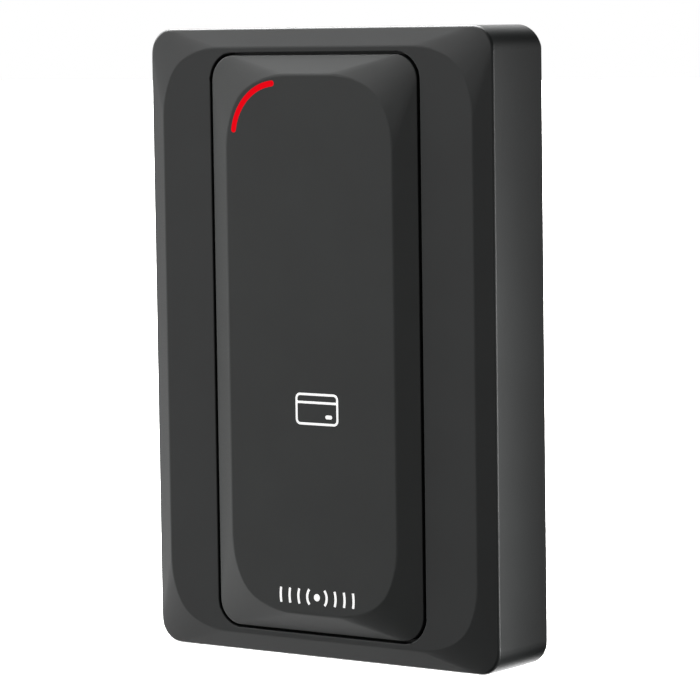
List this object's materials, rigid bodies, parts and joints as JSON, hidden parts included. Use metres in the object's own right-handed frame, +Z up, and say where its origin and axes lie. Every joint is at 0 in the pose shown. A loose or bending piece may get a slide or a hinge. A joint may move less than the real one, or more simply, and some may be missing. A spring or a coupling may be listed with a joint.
{
  "type": "rfid card reader",
  "caption": "Wall-mounted proximity card reader: upright black plastic housing with a raised centre panel, a light arc and a hook-on wall plate.",
  "frame": {"origin": "middle of the wall plate's wall-facing side, on the wall plane", "axes": "+Z up along the height, +Y into the wall, the front faces -Y, +X to the right as seen from the front"},
  "size_m": [0.08, 0.0199, 0.12],
  "materials": {
    "housing_plastic": "fine spark-eroded texture, black",
    "panel_plastic": "satin black",
    "cover_plastic": "matte black, plain moulding",
    "bracket_plastic": "matte black, plain moulding",
    "light_plastic": "clear, lit red from behind",
    "white_plastic": "white, opaque",
    "adhesive": "foam tape",
    "seal_rubber": "silicone rubber",
    "board_laminate": "glass-epoxy board with green mask",
    "coil_copper": "enamelled copper wire",
    "tinned_metal": "tinned",
    "screw_steel": "zinc plated",
    "dark_screw": "black oxide",
    "insert_brass": "knurled brass",
    "spring_steel": "spring wire",
    "chip_epoxy": "moulding compound",
    "buzzer_plastic": "black",
    "can_aluminium": "drawn can",
    "ceramic_tan": "chip ceramic",
    "resistor_black": "chip film",
    "ferrite": "moulded ferrite",
    "connector_plastic": "natural nylon"
  },
  "bodies": {
    "bracket": {"wall_plate": "bracket_plastic", "screw_insert": "insert_brass"},
    "reader": {"front_housing": "housing_plastic", "front_panel": "panel_plastic", "panel_adhesive": "adhesive", "rear_cover": "cover_plastic", "cover_gasket": "seal_rubber", "cover_screws": "screw_steel", "cable_grommet": "seal_rubber", "light_guide": "light_plastic", "light_shroud": "white_plastic", "status_leds": "white_plastic", "main_board": "board_laminate", "board_screws": "screw_steel", "antenna_coil": "coil_copper", "microcontroller": "chip_epoxy", "reader_chip": "chip_epoxy", "bus_driver": "chip_epoxy", "chip_leads": "tinned_metal", "crystal": "tinned_metal", "buzzer": "buzzer_plastic", "chip_resistors": "resistor_black", "chip_capacitors": "ceramic_tan", "tuning_capacitors": "ceramic_tan", "supply_capacitors": "can_aluminium", "power_inductor": "ferrite", "voltage_regulator": "chip_epoxy", "surge_diodes": "chip_epoxy", "wire_socket": "connector_plastic", "socket_pins": "tinned_metal", "tamper_switch": "chip_epoxy", "tamper_spring": "spring_steel"},
    "plunger": {"tamper_plunger": "connector_plastic"},
    "washer": {"security_washer": "dark_screw"},
    "screw": {"security_screw": "dark_screw"}
  },
  "joints": [
    {"name": "reader_tilt", "type": "hinge", "parent": "bracket", "child": "reader", "pos_m": [0, -0.0038, 0.053], "axis": [-1, 0, 0], "range_deg": [0, 12]},
    {"name": "tamper_slide", "type": "slide", "parent": "reader", "child": "plunger", "axis": [0, 1, 0], "range_m": [0, 0.0022], "stiffness_N_per_m": 40, "springref_m": 0.0035, "deforming": ["tamper_spring"]},
    {"name": "screw_advance", "type": "slide", "parent": "bracket", "child": "washer", "axis": [0, 0, -1], "range_m": [0, 0.002]},
    {"name": "screw_turn", "type": "hinge", "parent": "washer", "child": "screw", "pos_m": [0, -0.0076, -0.0574], "axis": [0, 0, -1], "range_deg": [0, 1440]}
  ],
  "couplings": [
    {"joint": "screw_advance", "follows": "screw_turn", "m_per_rad": 0.000079577}
  ]
}
